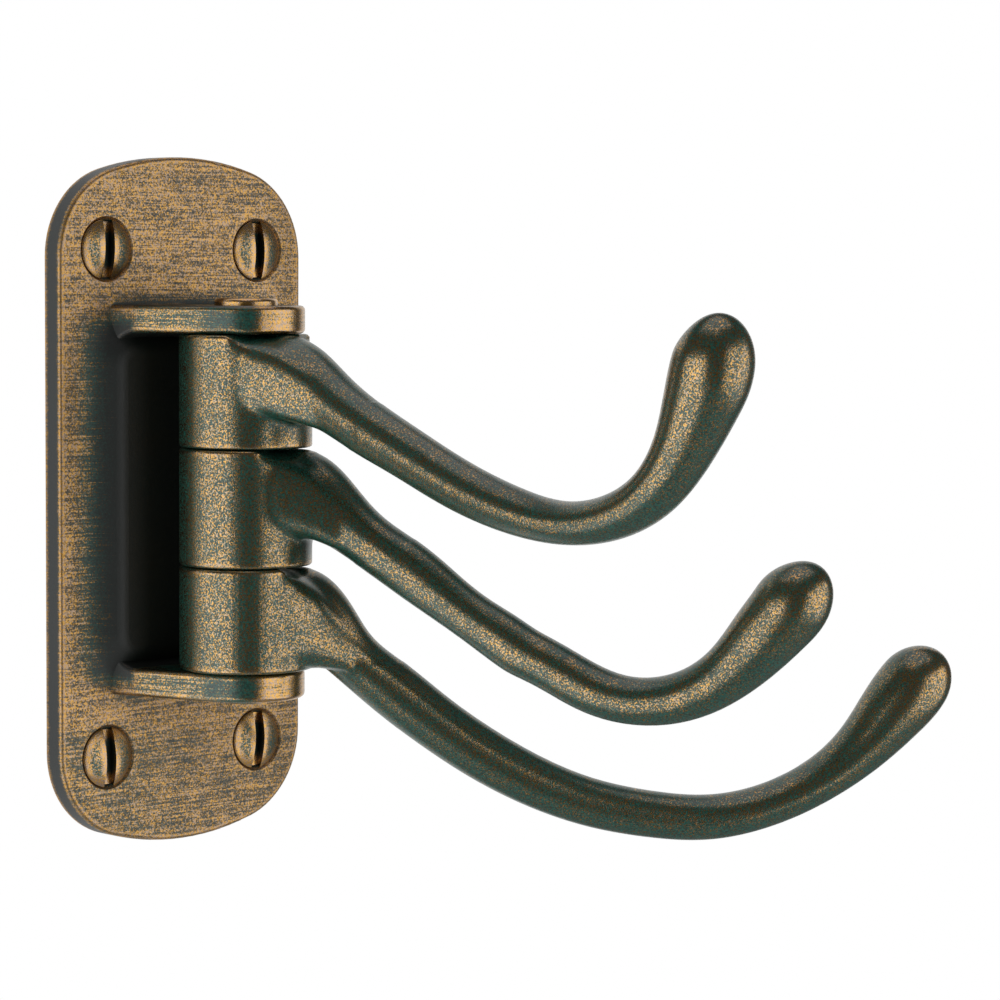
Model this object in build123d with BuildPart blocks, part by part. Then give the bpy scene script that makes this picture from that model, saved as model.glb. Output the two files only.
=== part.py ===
"""Wall-mounted swivel hook: a cast plate with two ears, a pivot pin and three swinging arms.

The origin is the middle of the plate's back face. The wall is the plane Y = 0, the hook
stands out towards -Y, and +Z is up. All sizes are in millimetres and all angles in degrees.
"""

import os
from math import sqrt

from build123d import *

os.makedirs("parts", exist_ok=True)

# Wall plate
plate_width = 39.3
plate_height = 87.5
plate_thickness = 3.0
plate_end_radius = 40.0
plate_corner_radius = 11.5
plate_edge_round = 0.5

# Raised pad between the ears
pad_width = 30.0
pad_rise = 2.2
pad_flank_angle = 58.0
pad_corner_radius = 6.0
pad_foot_radius = 6.0
pad_crest_radius = 3.0

# Ears that carry the pin
ear_thickness = 3.5
ear_root_width = 24.0
ear_tip_radius = 7.4
ear_edge_round = 0.6
ear_cove_radius = 3.5
pin_stand_out = 12.35
stack_rise = 0.5

# Pivot pin
pin_radius = 2.5
pin_fit = 0.02
pin_head_radius = 3.95
pin_head_height = 0.9
pin_head_round = 0.5
pin_tail = 0.8
pin_tail_round = 0.5

# Barrels of the three arms, from the top one down
barrel_radius = 8.35
barrel_heights = (14.1, 14.7, 13.0)
barrel_gap = 0.1
barrel_fit = 0.06
barrel_edge_round = 0.4
barrel_top_land = 15.0
root_slope_start = 3.6
root_slope = 30.0

# Wood screws
screw_spacing_x = 24.5
screw_spacing_z = 64.0
screw_head_radius = 3.8
screw_head_angle = 90.0
screw_head_rim = 0.2
screw_dome_height = 0.8
screw_sink = 0.1
screw_shank_radius = 2.1
screw_neck_flare = 0.1
screw_core_radius = 1.5
screw_length = 25.0
screw_shank_share = 0.4
screw_point_length = 3.5
screw_slot_width = 1.2
screw_slot_depth = 1.3
screw_slot_overrun = 1.0
screw_shank_clearance = 0.25
screw_seat_clearance = 0.05

# Swing of each arm from straight out, positive towards +X
swings = (5.3, 30.3, 54.3)

# Arm stations: distance from the pin, height from the barrel's middle, thickness, width
upper_arm_stations = (
    (1.5, 0.9, 11.6, 11.0),
    (6.7, 1.4, 11.2, 10.2),
    (10.2, 1.1, 9.8, 8.6),
    (14.2, -0.7, 7.8, 7.5),
    (19.7, -3.5, 6.9, 6.9),
    (26.8, -6.6, 6.4, 6.4),
    (34.8, -10.0, 6.1, 6.2),
    (43.8, -12.8, 5.6, 6.2),
    (51.8, -13.9, 5.1, 6.2),
    (59.3, -12.7, 5.4, 6.4),
    (64.8, -9.7, 5.9, 6.8),
    (69.0, -4.5, 7.1, 7.5),
    (71.3, 0.3, 8.7, 8.8),
    (72.9, 4.6, 9.5, 9.5),
)
upper_arm_tip = (72.9, 10.6)
middle_arm_stations = (
    (1.5, 0.9, 11.8, 11.0),
    (6.4, 1.4, 11.8, 10.2),
    (9.8, 0.9, 9.9, 8.6),
    (13.5, -1.9, 7.5, 7.5),
    (18.8, -5.6, 6.8, 6.9),
    (25.5, -10.2, 6.4, 6.4),
    (31.9, -14.5, 6.2, 6.2),
    (38.2, -18.1, 6.2, 6.2),
    (43.5, -20.8, 6.1, 6.2),
    (48.0, -22.4, 5.9, 6.2),
    (52.3, -22.7, 5.9, 6.2),
    (57.7, -21.4, 6.3, 6.5),
    (62.7, -18.1, 7.3, 7.4),
    (66.6, -13.9, 8.7, 8.8),
    (69.4, -10.5, 9.3, 9.3),
)
middle_arm_tip = (72.1, -5.1)
lower_arm_stations = (
    (1.5, 0.0, 11.0, 11.0),
    (5.9, 0.8, 11.0, 10.2),
    (9.1, -0.3, 9.5, 8.6),
    (12.8, -4.4, 7.2, 7.5),
    (17.6, -8.6, 7.1, 6.9),
    (23.5, -13.3, 7.0, 6.6),
    (30.0, -17.8, 6.8, 6.4),
    (37.1, -21.7, 6.5, 6.3),
    (44.1, -24.4, 6.2, 6.2),
    (52.1, -26.1, 6.0, 6.2),
    (60.1, -26.6, 5.8, 6.2),
    (67.6, -25.1, 5.6, 6.3),
    (74.5, -21.9, 5.9, 6.6),
    (79.8, -17.8, 7.1, 7.4),
    (83.8, -13.3, 8.8, 8.8),
    (86.5, -10.0, 9.3, 9.3),
)
lower_arm_tip = (89.6, -5.2)
tip_shares = (0.3, 0.55, 0.75, 0.9, 0.97)

# Places worked out from the sizes above
pin_y = -(plate_thickness + pin_stand_out)
stack_height = sum(barrel_heights) + barrel_gap * (len(barrel_heights) + 1)
ear_inner_top = stack_rise + stack_height / 2
ear_inner_bottom = stack_rise - stack_height / 2
ear_outer_top = ear_inner_top + ear_thickness
ear_outer_bottom = ear_inner_bottom - ear_thickness
plate_front = Plane.XZ.offset(plate_thickness)


# Upper ear: its plan tapers to a round tip, and a cove joins its inner face to the plate
with BuildPart() as ear:
    with BuildSketch(Plane.XY.offset(ear_inner_top - ear_cove_radius)):
        with Locations((0, pin_y)):
            Circle(ear_tip_radius)
        with Locations((0, -plate_thickness / 2)):
            Rectangle(ear_root_width, plate_thickness / 2)
        make_hull()
    extrude(amount=ear_cove_radius + ear_thickness)
    with BuildSketch(Plane.YZ):
        with BuildLine():
            cove_end = (-plate_thickness - ear_cove_radius, ear_inner_top)
            cove_start = (-plate_thickness, ear_inner_top - ear_cove_radius)
            RadiusArc(cove_start, cove_end, -ear_cove_radius)
            Polyline(
                cove_end,
                (pin_y - ear_tip_radius, ear_inner_top),
                (pin_y - ear_tip_radius, ear_outer_top),
                (0, ear_outer_top),
                (0, ear_inner_top - ear_cove_radius),
                cove_start,
            )
        make_face()
    extrude(amount=ear_root_width / 2, both=True, mode=Mode.INTERSECT)
    rim = edges().filter_by(lambda edge: edge.bounding_box().min.Y < -plate_thickness)
    fillet(rim.filter_by(Axis.Z, reverse=True), ear_edge_round)


# Wall plate: crowned ends, raised pad, two ears and four countersunk holes
with BuildPart() as wall_plate:
    with BuildSketch(Plane.XZ):
        with BuildLine():
            corner_height = plate_height / 2 - plate_end_radius + sqrt(
                plate_end_radius**2 - (plate_width / 2) ** 2
            )
            left_side = Line(
                (-plate_width / 2, -corner_height),
                (-plate_width / 2, corner_height),
            )
            right_side = Line(
                (plate_width / 2, corner_height),
                (plate_width / 2, -corner_height),
            )
            ThreePointArc(left_side @ 1, (0, plate_height / 2), right_side @ 0)
            ThreePointArc(right_side @ 1, (0, -plate_height / 2), left_side @ 0)
        make_face()
        fillet(vertices(), plate_corner_radius)
    extrude(amount=plate_thickness)
    fillet(faces().sort_by(Axis.Y)[0].edges(), plate_edge_round)

    # Raised pad with soft sloping flanks
    with BuildSketch(plate_front):
        with Locations((0, stack_rise)):
            RectangleRounded(pad_width, stack_height + ear_thickness, pad_corner_radius)
    extrude(amount=pad_rise, taper=pad_flank_angle)
    pad_top = faces().filter_by(Plane.XZ).sort_by(Axis.Y)[0]
    fillet(pad_top.edges(), pad_crest_radius)
    plate_face = faces().filter_by(Plane.XZ).sort_by(Axis.Y)[1]
    fillet(plate_face.inner_wires()[0].edges(), pad_foot_radius)

    add(ear.part)
    mirror(ear.part, about=Plane.XY.offset(stack_rise))

    # Bore for the pin through both ears
    with Locations(Plane.XY.offset(ear_outer_top)):
        with Locations((0, pin_y)):
            Hole(pin_radius + pin_fit)

    # Countersunk screw holes
    with Locations(plate_front):
        with GridLocations(screw_spacing_x, screw_spacing_z, 2, 2):
            CounterSinkHole(
                screw_shank_radius + screw_shank_clearance,
                screw_head_radius + screw_sink + screw_head_rim + screw_seat_clearance,
                counter_sink_angle=screw_head_angle,
            )
wall_plate.part.label = "wall_plate"
export_step(wall_plate.part, "parts/wall_plate.step")


# Pivot pin: domed head on the upper ear, closed over below the lower ear
with BuildPart() as pivot_pin:
    with BuildSketch(Plane.XY.offset(ear_outer_bottom - pin_tail)):
        with Locations((0, pin_y)):
            Circle(pin_radius)
    extrude(amount=ear_outer_top - ear_outer_bottom + pin_tail)
    fillet(faces().sort_by(Axis.Z)[0].edges(), pin_tail_round)
    with BuildSketch(Plane.XY.offset(ear_outer_top)):
        with Locations((0, pin_y)):
            Circle(pin_head_radius)
    extrude(amount=pin_head_height)
    fillet(faces().sort_by(Axis.Z)[-1].edges(), pin_head_round)
pivot_pin.part.label = "pivot_pin"
export_step(pivot_pin.part, "parts/pivot_pin.step")


def arm_section(path, place, thickness, width):
    """Oval section of an arm, square to its centre line."""
    square = Plane(origin=path @ place, x_dir=(0, 1, 0), z_dir=path % place)
    with BuildSketch(square) as section:
        Ellipse(width / 2, thickness / 2)
    return section.sketch


def hook_arm(name, stations, tip, barrel_height, barrel_middle, swing):
    """One arm: a bored barrel, and an oval bar that dips and rises to a swollen tip."""
    with BuildLine(Plane.XZ) as centre_line:
        Spline(*[station[:2] for station in stations], tip)
    path = centre_line.edges()[0]
    sections = []
    for reach, height, thickness, width in stations:
        place = path.param_at_point((reach, 0, height))
        sections.append(arm_section(path, place, thickness, width))
    for share in tip_shares:
        shrink = sqrt(1 - share**2)
        tip_place = place + share * (1 - place)
        sections.append(arm_section(path, tip_place, thickness * shrink, width * shrink))
    sections.append(Vertex(*(path @ 1)))

    with BuildPart() as arm:
        Cylinder(barrel_radius, barrel_height)
        fillet(edges().filter_by(GeomType.CIRCLE), barrel_edge_round)
        with Locations(Location((root_slope_start, 0, barrel_height / 2), (0, root_slope, 0))):
            Box(
                2 * barrel_radius,
                2 * barrel_radius,
                2 * barrel_radius,
                align=(Align.MIN, Align.CENTER, Align.MIN),
                mode=Mode.SUBTRACT,
            )
        loft(sections=sections)
        with Locations((0, 0, barrel_height)):
            Cylinder(barrel_top_land, barrel_height, mode=Mode.SUBTRACT)
        Hole(pin_radius + barrel_fit)

    with BuildPart() as placed:
        with Locations(Location((0, pin_y, barrel_middle), (0, 0, swing - 90))):
            add(arm.part)
    placed.part.label = name
    export_step(placed.part, f"parts/{name}.step")


# The three arms, stacked from the upper ear down
arms = (
    ("upper_arm", upper_arm_stations, upper_arm_tip),
    ("middle_arm", middle_arm_stations, middle_arm_tip),
    ("lower_arm", lower_arm_stations, lower_arm_tip),
)
barrel_top = ear_inner_top - barrel_gap
for (name, stations, tip), barrel_height, swing in zip(arms, barrel_heights, swings):
    hook_arm(name, stations, tip, barrel_height, barrel_top - barrel_height / 2, swing)
    barrel_top -= barrel_height + barrel_gap


# Slotted wood screw, drawn along Y with its head towards -Y and its rim at the origin
with BuildPart() as wood_screw:
    dome_radius = (screw_head_radius**2 + screw_dome_height**2) / (2 * screw_dome_height)
    rim_y = screw_sink - plate_thickness
    cone_y = rim_y + screw_head_rim
    neck_radius = screw_shank_radius + screw_neck_flare
    neck_y = cone_y + screw_head_radius - neck_radius
    thread_y = rim_y + screw_length * screw_shank_share
    point_y = rim_y + screw_length - screw_point_length
    with BuildSketch(Plane.XY):
        with BuildLine():
            dome = RadiusArc(
                (0, rim_y - screw_dome_height),
                (screw_head_radius, rim_y),
                -dome_radius,
            )
            Polyline(
                dome @ 1,
                (screw_head_radius, cone_y),
                (neck_radius, neck_y),
                (screw_shank_radius, 0),
                (screw_shank_radius, thread_y),
                (screw_core_radius, thread_y + screw_shank_radius - screw_core_radius),
                (screw_core_radius, point_y),
                (0, point_y + screw_point_length),
                dome @ 0,
            )
        make_face()
    revolve(axis=Axis.Y)
    with Locations((0, rim_y - screw_dome_height, 0)):
        Box(
            screw_slot_width,
            2 * screw_slot_depth,
            2 * (screw_head_radius + screw_slot_overrun),
            mode=Mode.SUBTRACT,
        )

screw_places = {
    "screw_upper_left": (-1, 1),
    "screw_upper_right": (1, 1),
    "screw_lower_left": (-1, -1),
    "screw_lower_right": (1, -1),
}
for name, (side, level) in screw_places.items():
    with BuildPart() as placed_screw:
        with Locations((side * screw_spacing_x / 2, 0, level * screw_spacing_z / 2)):
            add(wood_screw.part)
    placed_screw.part.label = name
    export_step(placed_screw.part, f"parts/{name}.step")
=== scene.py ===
import math

import bmesh
import bpy
from mathutils import Matrix, Vector


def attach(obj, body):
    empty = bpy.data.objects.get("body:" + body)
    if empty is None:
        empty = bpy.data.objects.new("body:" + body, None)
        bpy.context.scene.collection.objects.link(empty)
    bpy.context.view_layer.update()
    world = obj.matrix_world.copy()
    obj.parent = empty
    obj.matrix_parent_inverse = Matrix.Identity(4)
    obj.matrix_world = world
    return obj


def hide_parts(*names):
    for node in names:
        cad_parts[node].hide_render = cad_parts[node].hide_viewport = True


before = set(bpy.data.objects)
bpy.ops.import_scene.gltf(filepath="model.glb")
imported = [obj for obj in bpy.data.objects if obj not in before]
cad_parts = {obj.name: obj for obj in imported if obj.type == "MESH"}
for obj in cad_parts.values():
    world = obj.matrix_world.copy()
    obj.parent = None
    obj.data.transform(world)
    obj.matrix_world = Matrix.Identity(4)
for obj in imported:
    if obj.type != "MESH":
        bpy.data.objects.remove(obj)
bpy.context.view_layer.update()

MM = 0.001

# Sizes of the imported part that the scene's own pieces follow, in millimetres
PLATE_THICKNESS = 3.0
PIN_Y = -15.35
SCREW_X = 12.25
SCREW_Z = 32.0
SCREW_LENGTH = 25.0
HEAD_RADIUS = 3.8
HEAD_RIM = 0.2
HEAD_SINK = 0.1
DOME_HEIGHT = 0.8
NECK_RADIUS = 2.2
SHANK_RADIUS = 2.1
SHANK_SHARE = 0.4
CORE_RADIUS = 1.5
POINT_LENGTH = 3.5
SLOT_DEPTH = 1.3
SLOT_SPARE = 1.0

# The photo's slots look wider than the part's, which are 1.2 mm
SLOT_WIDTH = 1.5

# Detail of the screws that only the scene has, in millimetres
EDGE_SOFTENING = 0.08
POINT_RADIUS = 0.02
THREAD_PITCH = 1.8

# How finely a screw is divided, and the shape of its thread's crest
SCREW_SIDES = 96
DOME_STEPS = 14
STEPS_PER_PITCH = 16
CREST_START = 0.25
CREST_HALF_WIDTH = 0.3
CREST_SHARPNESS = 1.3


def colour(red, green, blue):
    """Linear colour of a screen colour given as 0 to 255."""
    parts = []
    for value in (red, green, blue):
        value /= 255
        parts.append(value / 12.92 if value <= 0.04045 else ((value + 0.055) / 1.055) ** 2.4)
    return (*parts, 1.0)


class Shader:
    """A small helper that adds nodes to one material."""

    def __init__(self, name):
        self.material = bpy.data.materials.new(name)
        self.material.use_nodes = True
        self.tree = self.material.node_tree
        self.tree.nodes.clear()
        self.out = self.tree.nodes.new("ShaderNodeOutputMaterial")
        places = self.tree.nodes.new("ShaderNodeTexCoord").outputs
        self.coords = places["Object"]
        self.facing = places["Normal"]

    def put(self, socket, value):
        """Links a node's output to the socket, or sets the socket's own number."""
        if isinstance(value, bpy.types.NodeSocket):
            self.tree.links.new(value, socket)
        else:
            socket.default_value = value

    def node(self, kind, settings=None, **inputs):
        made = self.tree.nodes.new(kind)
        for key, value in (settings or {}).items():
            setattr(made, key, value)
        for key, value in inputs.items():
            self.put(made.inputs[key.replace("_", " ")], value)
        return made

    def scaled(self, x, y, z):
        made = self.node("ShaderNodeMapping", {"vector_type": "POINT"}, Vector=self.coords)
        made.inputs["Scale"].default_value = (x, y, z)
        return made.outputs["Vector"]

    def split(self, vector):
        return self.node("ShaderNodeSeparateXYZ", None, Vector=vector).outputs[:3]

    def noise(self, vector, scale, detail, roughness):
        made = self.node("ShaderNodeTexNoise", None, Vector=vector, Scale=scale, Detail=detail,
                         Roughness=roughness)
        return made.outputs["Fac"]

    def ramp(self, value, low, high, out_low=0.0, out_high=1.0):
        """Smooth step from out_low to out_high while the value goes from low to high."""
        made = self.tree.nodes.new("ShaderNodeMapRange")
        made.interpolation_type = "SMOOTHSTEP"
        self.put(made.inputs["Value"], value)
        for key, number in (
            ("From Min", low),
            ("From Max", high),
            ("To Min", out_low),
            ("To Max", out_high),
        ):
            made.inputs[key].default_value = number
        return made.outputs["Result"]

    def spread(self, noise, low, high):
        """A noise, which mostly lies between 0.3 and 0.7, stretched to this range."""
        return self.ramp(noise, 0.3, 0.7, low, high)

    def fade(self, place, start, end, out_low=0.0, out_high=1.0):
        """Smooth step for a place in the part, with start and end in millimetres."""
        return self.ramp(place, start * MM, end * MM, out_low, out_high)

    def math(self, operation, first, second=0.0):
        made = self.node("ShaderNodeMath", {"operation": operation})
        self.put(made.inputs[0], first)
        self.put(made.inputs[1], second)
        return made.outputs[0]

    def add(self, first, second):
        return self.math("ADD", first, second)

    def less(self, first, second):
        return self.math("SUBTRACT", first, second)

    def times(self, first, second):
        return self.math("MULTIPLY", first, second)

    def most(self, first, second):
        return self.math("MAXIMUM", first, second)

    def mix(self, share, first, second):
        made = self.node("ShaderNodeMix", {"data_type": "RGBA", "blend_type": "MIX"})
        self.put(made.inputs[0], share)
        self.put(made.inputs[6], first)
        self.put(made.inputs[7], second)
        return made.outputs[2]

    def blend_shaders(self, share, first, second):
        made = self.tree.nodes.new("ShaderNodeMixShader")
        self.put(made.inputs[0], share)
        self.put(made.inputs[1], first)
        self.put(made.inputs[2], second)
        return made.outputs[0]

    def openness(self, distance, inside):
        """How open the piece is within this distance in metres: 1 is open, and 0 is shut in."""
        settings = {"samples": 8, "inside": inside, "only_local": True}
        made = self.node("ShaderNodeAmbientOcclusion", settings, Distance=distance)
        return made.outputs["AO"]

    def bump(self, height, distance, strength=1.0, normal=None):
        made = self.node("ShaderNodeBump", None, Strength=strength, Distance=distance, Height=height)
        if normal is not None:
            self.put(made.inputs["Normal"], normal)
        return made.outputs["Normal"]

    def finish(self, surface):
        self.put(self.out.inputs["Surface"], surface)
        return self.material


# Worn metal and patina colours, and a near-black for dark grain and for patina and painted shade in
# hollows, shared by every brass piece
GOLD = colour(190, 147, 80)
TAN = colour(160, 138, 118)
PATINA = colour(20, 80, 68)
UMBER = colour(74, 74, 62)
GRIME_AND_SHADE = colour(8, 16, 12)

# Noise frequencies of the finish, in waves per metre
GRAIN = 4800.0
TINT = 3900.0
CLOUD = 420.0
WAVES = 260.0
BRUSH_ALONG = 170.0
BRUSH_ACROSS = 5200.0

# How far the finish looks for worn edges and for hollows that take patina and painted shade, and its
# relief, in metres
EDGE_REACH = 0.0012
HOLLOW_REACH = 0.004
GRAIN_HEIGHT = 0.00003
LINE_HEIGHT = 0.00002
WAVE_HEIGHT = 0.00008
CROWN_HEIGHT = 0.0007

# The plate's face falls away to its sides between these distances from the middle, in millimetres
CROWN_START = 13.5
CROWN_END = 21.0

# Shares that are added to or taken from the wear, the painted shade and the roughness
CLOUD_WEAR = 0.08
TIP_WEAR = 0.18
GLOSSY_DARKENING = 0.22
HOLLOW_DARKENING = 0.8
PATINA_ROUGHENING = 0.08
GLOSSY_ROUGHNESS = 0.24
SPECULAR = 0.6


def tip_wear(s):
    """Where hands and towels rub the arms: the tips, found by their distance from the pin."""
    x, y, z = s.split(s.coords)
    out = s.add(y, -PIN_Y * MM)
    reach = s.math("SQRT", s.add(s.times(x, x), s.times(out, out)))
    upper_tips = s.times(s.fade(reach, 64.0, 73.0), s.fade(z, -16.0, -13.0, 0.0, 0.4))
    lower_tip = s.fade(reach, 82.0, 90.0)
    return s.most(upper_tips, lower_tip)


def facing_shade_and_tip_wear(s):
    """Painted shade on surfaces that face down or up, and more wear at the arms' tips."""
    up = s.split(s.facing)[2]
    # Undersides and tops darkened as painted shade
    under = s.ramp(up, -0.7, 0.1, -0.25, 0.0)
    over = s.ramp(up, 0.3, 0.8, 0.0, -0.22)
    return s.add(s.add(under, over), s.times(tip_wear(s), TIP_WEAR))


def aged_brass(name, wear, rough, mottle=0.4, brushed=0.0, patina=PATINA, zones=None):
    """Antique brass: a fine mix of worn metal and dark patina, worn at edges, dark in hollows with patina
    and painted shade, with painted shade by facing, or painted shade and highlight by zones.
    """
    s = Shader(name)
    grain = s.noise(s.coords, GRAIN, 2.0, 0.65)
    tint = s.noise(s.coords, TINT, 1.0, 0.5)
    cloud = s.noise(s.coords, CLOUD, 3.0, 0.6)

    # How worn the surface is, together with the painted shade and highlight added below, from patina at
    # 0.2 and below to bare metal at 0.8 and above
    wear_and_shade = s.add(s.spread(grain, -mottle, mottle), wear)
    wear_and_shade = s.add(wear_and_shade, s.spread(cloud, -CLOUD_WEAR, CLOUD_WEAR))
    if brushed:
        lines = s.noise(s.scaled(BRUSH_ALONG, BRUSH_ALONG, BRUSH_ACROSS), 1.0, 3.0, 0.7)
        wear_and_shade = s.add(wear_and_shade, s.spread(lines, -brushed, brushed))
    edge = s.ramp(s.openness(EDGE_REACH, True), 0.5, 0.92, 1.0, 0.0)
    # Hollows darken as patina and as painted shade
    patina_and_shade = s.ramp(s.openness(HOLLOW_REACH, False), 0.3, 0.85, 1.0, 0.0)
    wear_and_shade = s.add(wear_and_shade, edge)
    if zones is None:
        wear_and_shade = s.add(wear_and_shade, facing_shade_and_tip_wear(s))
    else:
        # The zones give painted shade, the glossy ears, and a painted highlight and shade across the
        # ears' fronts
        painted_shade, glossy, ear_highlight_and_shade = zones(s)
        patina_and_shade = s.most(patina_and_shade, painted_shade)
        wear_and_shade = s.add(s.less(wear_and_shade, s.times(glossy, GLOSSY_DARKENING)), ear_highlight_and_shade)
        rough = s.ramp(glossy, 0.0, 1.0, rough, GLOSSY_ROUGHNESS)
        patina = s.mix(glossy, patina, PATINA)
    patina_and_shade = s.times(patina_and_shade, s.spread(grain, 0.8, 1.2))
    wear_and_shade = s.ramp(s.less(wear_and_shade, s.times(patina_and_shade, HOLLOW_DARKENING)), 0.2, 0.8)

    # Colours of the bare metal and of the dark parts, which go darkest in hollows as patina and painted
    # shade
    metal = s.mix(s.ramp(tint, 0.38, 0.62), TAN, GOLD)
    dark = s.mix(s.ramp(patina_and_shade, 0.0, 0.4), patina, PATINA)
    dark = s.mix(s.spread(tint, 0.0, 0.8), dark, GRIME_AND_SHADE)
    dark = s.mix(s.ramp(patina_and_shade, 0.1, 0.8), dark, GRIME_AND_SHADE)

    shader = s.node("ShaderNodeBsdfPrincipled", None, Base_Color=s.mix(wear_and_shade, dark, metal))
    s.put(shader.inputs["Metallic"], s.ramp(wear_and_shade, 0.0, 0.3))
    s.put(shader.inputs["Roughness"], s.add(s.ramp(wear_and_shade, 0.0, 1.0, PATINA_ROUGHENING, 0.0), rough))
    shader.inputs["Specular IOR Level"].default_value = SPECULAR
    normal = s.bump(grain, GRAIN_HEIGHT, 0.6)
    if brushed:
        side = s.math("ABSOLUTE", s.split(s.coords)[0])
        normal = s.bump(lines, LINE_HEIGHT, 0.6, normal)
        normal = s.bump(s.fade(side, CROWN_START, CROWN_END, 1.0, 0.0), CROWN_HEIGHT, 1.0, normal)
    normal = s.bump(s.noise(s.coords, WAVES, 2.0, 0.5), WAVE_HEIGHT, 0.3, normal)
    s.put(shader.inputs["Normal"], normal)
    return s.finish(shader.outputs["BSDF"])


def plate_zones(s):
    """Dark areas of the plate, mostly painted shade, its polished areas (the ears), and a painted
    highlight and painted shade across the ears' fronts.
    """
    x, y, z = s.split(s.coords)
    side = s.math("ABSOLUTE", x)
    height = s.math("ABSOLUTE", s.less(z, 0.5 * MM))

    # Painted shade in the hollow behind the barrels, between the ears
    cove = s.times(s.fade(side, 9.5, 19.5, 1.0, 0.0), s.fade(height, 20.5, 24.5, 1.0, 0.0))
    cove = s.times(cove, s.fade(y, -6.6, -5.6))
    # Painted shade on the plate's sides, behind its front face
    sides = s.fade(y, -2.8, -2.4, 0.0, 0.85)
    # The top of the upper ear, darkened as patina and painted shade
    ledge = s.times(s.fade(z, 24.8, 25.0), s.fade(y, -3.4, -3.2, 0.75, 0.0))
    ledge = s.times(ledge, s.fade(z, 25.2, 25.4, 1.0, 0.0))
    # Painted shade on the foot of the plate, darker to the left
    foot = s.times(s.fade(z, -30.0, -26.0, 0.17, 0.0), s.fade(x, -10.0, 6.0, 1.0, 0.55))
    painted_shade = s.most(s.most(cove, sides), s.most(ledge, foot))

    glossy = s.fade(y, -7.5, -5.5, 1.0, 0.0)
    # Painted highlight on the ears' right fronts and painted shade across their middles
    ear_highlight_and_shade = s.add(s.fade(x, -4.5, -2.8, -0.22, 0.45), s.fade(x, -8.2, -6.8, 0.25, 0.0))
    return painted_shade, glossy, s.times(ear_highlight_and_shade, glossy)


MATERIALS = {
    "plate": aged_brass("plate_brass", 0.55, 0.42, 0.32, 0.24, UMBER, plate_zones),
    "arm": aged_brass("arm_brass", 0.38, 0.22, 0.42),
    "pin": aged_brass("pin_brass", 0.35, 0.24),
    "screw": aged_brass("screw_brass", 0.42, 0.26),
}
NODE_MATERIALS = {
    "wall_plate": "plate",
    "pivot_pin": "pin",
    "upper_arm": "arm",
    "middle_arm": "arm",
    "lower_arm": "arm",
}


def dress(piece, kind):
    """Gives the piece this one material."""
    piece.data.materials.clear()
    piece.data.materials.append(MATERIALS[kind])


for node, kind in NODE_MATERIALS.items():
    dress(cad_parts[node], kind)


def new_object(name, data):
    """Object at the origin that holds this mesh, lamp or camera."""
    made = bpy.data.objects.new(name, data)
    bpy.context.scene.collection.objects.link(made)
    return made


def apply_modifiers(piece):
    """Bakes the piece's modifiers into its mesh."""
    bpy.context.view_layer.update()
    graph = bpy.context.evaluated_depsgraph_get()
    mesh = bpy.data.meshes.new_from_object(piece.evaluated_get(graph))
    piece.modifiers.clear()
    piece.data = mesh


def add_boolean(piece, operation, other):
    """Joins the other object to the piece, or cuts it away."""
    made = piece.modifiers.new(operation.lower(), "BOOLEAN")
    made.operation = operation
    made.solver = "EXACT"
    made.object = other


def shade_smooth(piece, degrees):
    """Smooth shading, with sharp edges where faces meet at more than this angle."""
    bpy.ops.object.select_all(action="DESELECT")
    piece.select_set(True)
    bpy.context.view_layer.objects.active = piece
    bpy.ops.object.shade_smooth_by_angle(angle=math.radians(degrees))
    piece.select_set(False)


def thread_radius(y, k, thread_start, tip):
    """Radius of the threaded length at this depth, on side k of SCREW_SIDES."""
    fade = min(1.0, (y - thread_start) / THREAD_PITCH, (tip - y) / POINT_LENGTH)
    core = CORE_RADIUS * min(1.0, (tip - y) / POINT_LENGTH) + POINT_RADIUS
    if y < thread_start + THREAD_PITCH:
        core = SHANK_RADIUS + (CORE_RADIUS - SHANK_RADIUS) * fade
    crest = (SHANK_RADIUS - CORE_RADIUS) * min(1.0, CREST_START + fade)
    turn = ((y - thread_start) / THREAD_PITCH - k / SCREW_SIDES) % 1.0
    height = max(0.0, 1.0 - abs(turn - 0.5) / CREST_HALF_WIDTH) ** CREST_SHARPNESS
    return min(SHANK_RADIUS, core + crest * height)


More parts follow.
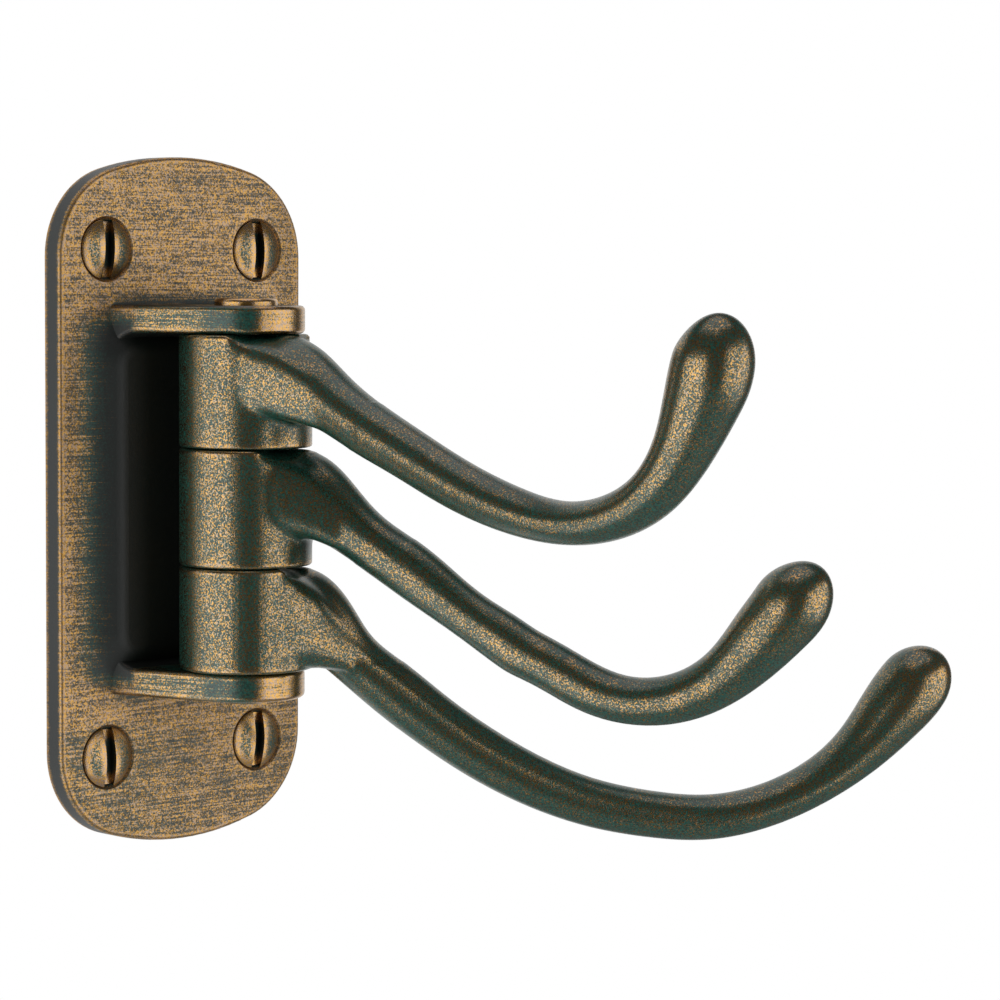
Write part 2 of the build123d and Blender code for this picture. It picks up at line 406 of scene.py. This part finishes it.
def screw_mesh(name):
    """Wood screw along Y: domed head, neck, plain shank and a tapering thread."""
    rim = HEAD_SINK - PLATE_THICKNESS
    dome_radius = (HEAD_RADIUS**2 + DOME_HEIGHT**2) / (2 * DOME_HEIGHT)
    cone = rim + HEAD_RIM
    neck = cone + HEAD_RADIUS - NECK_RADIUS
    thread_start = rim + SCREW_LENGTH * SHANK_SHARE
    tip = rim + SCREW_LENGTH

    profile = []
    for step in range(1, DOME_STEPS + 1):
        r = HEAD_RADIUS * step / DOME_STEPS
        profile.append((r, rim - DOME_HEIGHT + dome_radius - math.sqrt(dome_radius**2 - r * r)))
    profile += [(HEAD_RADIUS, cone), (NECK_RADIUS, neck), (SHANK_RADIUS, 0.0)]
    profile.append((SHANK_RADIUS, thread_start))

    rows = [(y, [r] * SCREW_SIDES) for r, y in profile]
    steps = int((tip - thread_start) / THREAD_PITCH * STEPS_PER_PITCH)
    for step in range(1, steps):
        y = thread_start + (tip - thread_start) * step / steps
        rows.append((y, [thread_radius(y, k, thread_start, tip) for k in range(SCREW_SIDES)]))

    vertices = [(0.0, rim - DOME_HEIGHT, 0.0)]
    rings = []
    for y, radii in rows:
        rings.append(len(vertices))
        for k, r in enumerate(radii):
            a = 2 * math.pi * k / SCREW_SIDES
            vertices.append((r * math.cos(a), y, r * math.sin(a)))
    end = len(vertices)
    vertices.append((0.0, tip, 0.0))

    faces = []
    for k in range(SCREW_SIDES):
        nxt = (k + 1) % SCREW_SIDES
        faces.append((0, rings[0] + k, rings[0] + nxt))
        faces.append((end, rings[-1] + nxt, rings[-1] + k))
        for low, high in zip(rings, rings[1:]):
            faces.append((low + k, high + k, high + nxt, low + nxt))
    mesh = bpy.data.meshes.new(name)
    mesh.from_pydata([(x * MM, y * MM, z * MM) for x, y, z in vertices], [], faces)
    mesh.update()
    return mesh


def slot_cutter():
    """Block that cuts the slot across the head."""
    top = HEAD_SINK - PLATE_THICKNESS - DOME_HEIGHT
    half = SLOT_WIDTH / 2
    depths = (top - SLOT_SPARE, top + SLOT_DEPTH)
    long = HEAD_RADIUS + SLOT_SPARE
    corners = [(x * MM, y * MM, z * MM) for x in (-half, half) for y in depths for z in (-long, long)]
    quads = [(0, 1, 3, 2), (4, 6, 7, 5), (0, 4, 5, 1), (2, 3, 7, 6), (0, 2, 6, 4), (1, 5, 7, 3)]
    mesh = bpy.data.meshes.new("slot_cutter")
    mesh.from_pydata(corners, [], quads)
    return new_object("slot_cutter", mesh)


def build_screws():
    """The four screws in the plate's corners, each with its slot turned a few degrees from upright."""
    cutter = slot_cutter()
    for node, side, level, turn in (
        ("screw_upper_left", -1, 1, 2.0),
        ("screw_upper_right", 1, 1, -1.0),
        ("screw_lower_left", -1, -1, -2.0),
        ("screw_lower_right", 1, -1, 2.0),
    ):
        piece = new_object(node + "_piece", screw_mesh(node + "_mesh"))
        add_boolean(piece, "DIFFERENCE", cutter)
        soften = piece.modifiers.new("edges", "BEVEL")
        soften.width = EDGE_SOFTENING * MM
        soften.segments = 2
        soften.limit_method = "ANGLE"
        soften.angle_limit = math.radians(50)
        apply_modifiers(piece)
        place = Matrix.Translation((side * SCREW_X * MM, 0, level * SCREW_Z * MM))
        piece.data.transform(place @ Matrix.Rotation(math.radians(turn), 4, "Y"))
        dress(piece, "screw")
        shade_smooth(piece, 35)
        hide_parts(node)
        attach(piece, "plate")
    bpy.data.objects.remove(cutter)


build_screws()

# Webs that blend each arm into its barrel, in the arm's own frame: how far the arm is swung in
# degrees, the barrel's middle and height, and sections of reach, low edge, high edge and half
# width, in millimetres
ROOTS = {
    "upper_arm": (5.3, 14.45, 14.1, [
        (3.0, -1.9, 6.95, 6.9),
        (6.5, -2.7, 6.6, 6.1),
        (10.0, -3.6, 5.5, 5.1),
        (13.0, -4.1, 3.6, 4.1),
        (15.5, -4.6, 1.6, 3.2),
    ]),
    "middle_arm": (30.3, -0.05, 14.7, [
        (3.0, -2.4, 7.25, 7.0),
        (6.5, -3.1, 6.7, 6.2),
        (10.0, -4.0, 5.0, 5.0),
        (12.5, -5.0, 2.7, 4.1),
        (15.0, -5.9, 0.0, 3.1),
    ]),
    "lower_arm": (54.3, -14.0, 13.0, [
        (3.0, -6.4, 6.4, 7.7),
        (6.0, -6.4, 5.9, 6.8),
        (9.0, -6.4, 3.9, 5.6),
        (12.0, -6.9, 0.2, 4.2),
        (15.0, -9.0, -3.6, 3.0),
    ]),
}
WEB_SIDES = 64
WEB_SQUARENESS = 4.0
SKIN_VOXEL = 0.23

# Part of an arm that is softened: along it, out from the pin, and away from the barrel's flat ends
SOFT_START = 1.0
SOFT_END = 22.0
SOFT_RADIUS = 5.0
SOFT_MARGIN = 0.5
SOFT_ROUNDS = 40


def squared(value):
    """Sine or cosine of a rounded square's outline."""
    return math.copysign(abs(value) ** (2 / WEB_SQUARENESS), value)


def web_mesh(name, sections):
    """Closed skin through rounded sections that stand across X."""
    mesh = bmesh.new()
    rings = []
    for reach, low, high, half in sections:
        ring = []
        for k in range(WEB_SIDES):
            a = 2 * math.pi * k / WEB_SIDES
            y = half * squared(math.cos(a))
            z = (low + high) / 2 + (high - low) / 2 * squared(math.sin(a))
            ring.append(mesh.verts.new((reach * MM, y * MM, z * MM)))
        rings.append(ring)
    for first, second in zip(rings, rings[1:]):
        for k in range(WEB_SIDES):
            nxt = (k + 1) % WEB_SIDES
            mesh.faces.new((first[k], first[nxt], second[nxt], second[k]))
    mesh.faces.new(rings[0])
    mesh.faces.new(rings[-1])
    bmesh.ops.recalc_face_normals(mesh, faces=mesh.faces)
    made = bpy.data.meshes.new(name)
    mesh.to_mesh(made)
    mesh.free()
    return made


def soften_root(mesh, place, height):
    """Rounds the creases between barrel and arm, and leaves the bore and the flat ends alone."""
    work = bmesh.new()
    work.from_mesh(mesh)
    back = place.inverted()
    chosen = []
    for vertex in work.verts:
        x, y, z = back @ vertex.co / MM
        outside = math.hypot(x, y) > SOFT_RADIUS and abs(z) < height / 2 - SOFT_MARGIN
        if outside and SOFT_START < x < SOFT_END:
            chosen.append(vertex)
    for _ in range(SOFT_ROUNDS):
        bmesh.ops.smooth_vert(
            work, verts=chosen, factor=0.5, use_axis_x=True, use_axis_y=True, use_axis_z=True
        )
    work.to_mesh(mesh)
    work.free()


def build_arms():
    """The three arms again, with the soft cast webs of the photo at their roots."""
    for node, (swing, middle, height, sections) in ROOTS.items():
        place = Matrix.Translation((0, PIN_Y * MM, middle * MM))
        place = place @ Matrix.Rotation(math.radians(swing - 90), 4, "Z")
        piece = new_object(node + "_piece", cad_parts[node].data.copy())
        web = new_object(node + "_web", web_mesh(node + "_web", sections))
        web.data.transform(place)
        add_boolean(piece, "UNION", web)
        skin = piece.modifiers.new("skin", "REMESH")
        skin.mode = "VOXEL"
        skin.voxel_size = SKIN_VOXEL * MM
        apply_modifiers(piece)
        soften_root(piece.data, place, height)
        dress(piece, "arm")
        shade_smooth(piece, 60)
        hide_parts(node)
        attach(piece, node)
        bpy.data.objects.remove(web)


build_arms()

# The board that stands for the wall, and the floor, in metres
WALL_Y = 0.02 * MM
WALL_LEFT = -0.030
WALL_RIGHT = 0.26
WALL_RISE_LEFT = 0.07
WALL_RISE_RIGHT = 0.11
FLOOR_Z = -0.5
FLOOR_HALF = 1.5


def wall_material():
    """White wall, plain white to the eye and in reflections, open from behind."""
    s = Shader("stage_wall")
    path = s.node("ShaderNodeLightPath").outputs
    seen = s.most(s.most(path["Is Camera Ray"], path["Is Glossy Ray"]), path["Is Transmission Ray"])
    paint = s.node("ShaderNodeBsdfDiffuse", None, Color=(0.8, 0.8, 0.8, 1.0))
    glow = s.node("ShaderNodeEmission", None, Color=(1.0, 1.0, 1.0, 1.0), Strength=1.0)
    front = s.blend_shaders(seen, paint.outputs[0], glow.outputs[0])
    clear = s.node("ShaderNodeBsdfTransparent")
    behind = s.node("ShaderNodeNewGeometry").outputs["Backfacing"]
    return s.finish(s.blend_shaders(behind, front, clear.outputs[0]))


def floor_material():
    """Plain pale floor."""
    s = Shader("stage_floor")
    paint = s.node("ShaderNodeBsdfDiffuse", None, Color=(0.7, 0.7, 0.69, 1.0))
    return s.finish(paint.outputs[0])


def stage_sheet(name, corners, material):
    """Flat four-cornered sheet that belongs to the stage."""
    mesh = bpy.data.meshes.new(name)
    mesh.from_pydata(corners, [], [(0, 1, 2, 3)])
    mesh.materials.append(material)
    new_object(name, mesh)


stage_sheet("wall", [
    (WALL_LEFT, WALL_Y, -WALL_RISE_LEFT),
    (WALL_RIGHT, WALL_Y, -WALL_RISE_RIGHT),
    (WALL_RIGHT, WALL_Y, WALL_RISE_RIGHT),
    (WALL_LEFT, WALL_Y, WALL_RISE_LEFT),
], wall_material())
stage_sheet("floor", [
    (-FLOOR_HALF, -FLOOR_HALF, FLOOR_Z),
    (FLOOR_HALF, -FLOOR_HALF, FLOOR_Z),
    (FLOOR_HALF, FLOOR_HALF, FLOOR_Z),
    (-FLOOR_HALF, FLOOR_HALF, FLOOR_Z),
], floor_material())

WHITE = (1.0, 1.0, 1.0)
WARM_PINK = (1.0, 0.92, 0.97)
LAMP_AIM = Vector((0.02, -0.04, 0.0))


def toward(azimuth, elevation):
    """Unit vector. Azimuth 0 is straight out from the wall, and positive to the right."""
    a, e = math.radians(azimuth), math.radians(elevation)
    return Vector((math.sin(a) * math.cos(e), -math.cos(a) * math.cos(e), math.sin(e)))


def soft_lamp(name, azimuth, elevation, distance, width, height, radiance, tint):
    """Rectangular lamp aimed at the hook, in metres. The radiance is how bright its face looks."""
    way = toward(azimuth, elevation)
    data = bpy.data.lights.new(name, "AREA")
    data.shape = "RECTANGLE"
    data.size = width
    data.size_y = height
    data.energy = radiance * math.pi * width * height
    data.color = tint
    lamp = new_object(name, data)
    lamp.location = LAMP_AIM + way * distance
    lamp.rotation_euler = way.to_track_quat("Z", "Y").to_euler()
    lamp.visible_camera = False


soft_lamp("left_soft", -95, -18, 0.5, 0.58, 0.62, 2.1, WHITE)
soft_lamp("right_soft", 27, -8, 0.6, 0.88, 0.66, 1.7, WHITE)
soft_lamp("top_soft", 0, 90, 0.9, 0.9, 0.9, 1.2, WARM_PINK)

world = bpy.data.worlds.new("studio")
world.use_nodes = True
world.node_tree.nodes["Background"].inputs["Color"].default_value = (1.0, 1.0, 1.0, 1.0)
world.node_tree.nodes["Background"].inputs["Strength"].default_value = 0.10
bpy.context.scene.world = world

# The photograph's camera, in degrees and millimetres. It looks along a line through a point that
# lies right and up of the origin, as the picture sees it
CAMERA_AZIMUTH = -44.276
CAMERA_ELEVATION = 3.985
CAMERA_ROLL = 0.296
CAMERA_DISTANCE = 442.21
CAMERA_RIGHT = 42.63
CAMERA_UP = -0.143
CAMERA_LENS = 123.6
CAMERA_SENSOR = 36.0


def aim_camera():
    """The scene's camera, at the photograph's place and angle."""
    roll = math.radians(CAMERA_ROLL)
    a = math.radians(CAMERA_AZIMUTH)
    back = toward(CAMERA_AZIMUTH, CAMERA_ELEVATION)
    level = Vector((math.cos(a), math.sin(a), 0.0))
    over = back.cross(level)
    side = level * math.cos(roll) + over * math.sin(roll)
    above = over * math.cos(roll) - level * math.sin(roll)
    place = back * CAMERA_DISTANCE + side * CAMERA_RIGHT + above * CAMERA_UP
    data = bpy.data.cameras.new("camera")
    data.sensor_width = CAMERA_SENSOR
    data.lens = CAMERA_LENS
    data.clip_start = 0.01
    camera = new_object("camera", data)
    turn = Matrix((side, above, back)).transposed().to_4x4()
    camera.matrix_world = Matrix.Translation(place * MM) @ turn
    bpy.context.scene.camera = camera


aim_camera()

bpy.context.scene.view_settings.view_transform = "Standard"
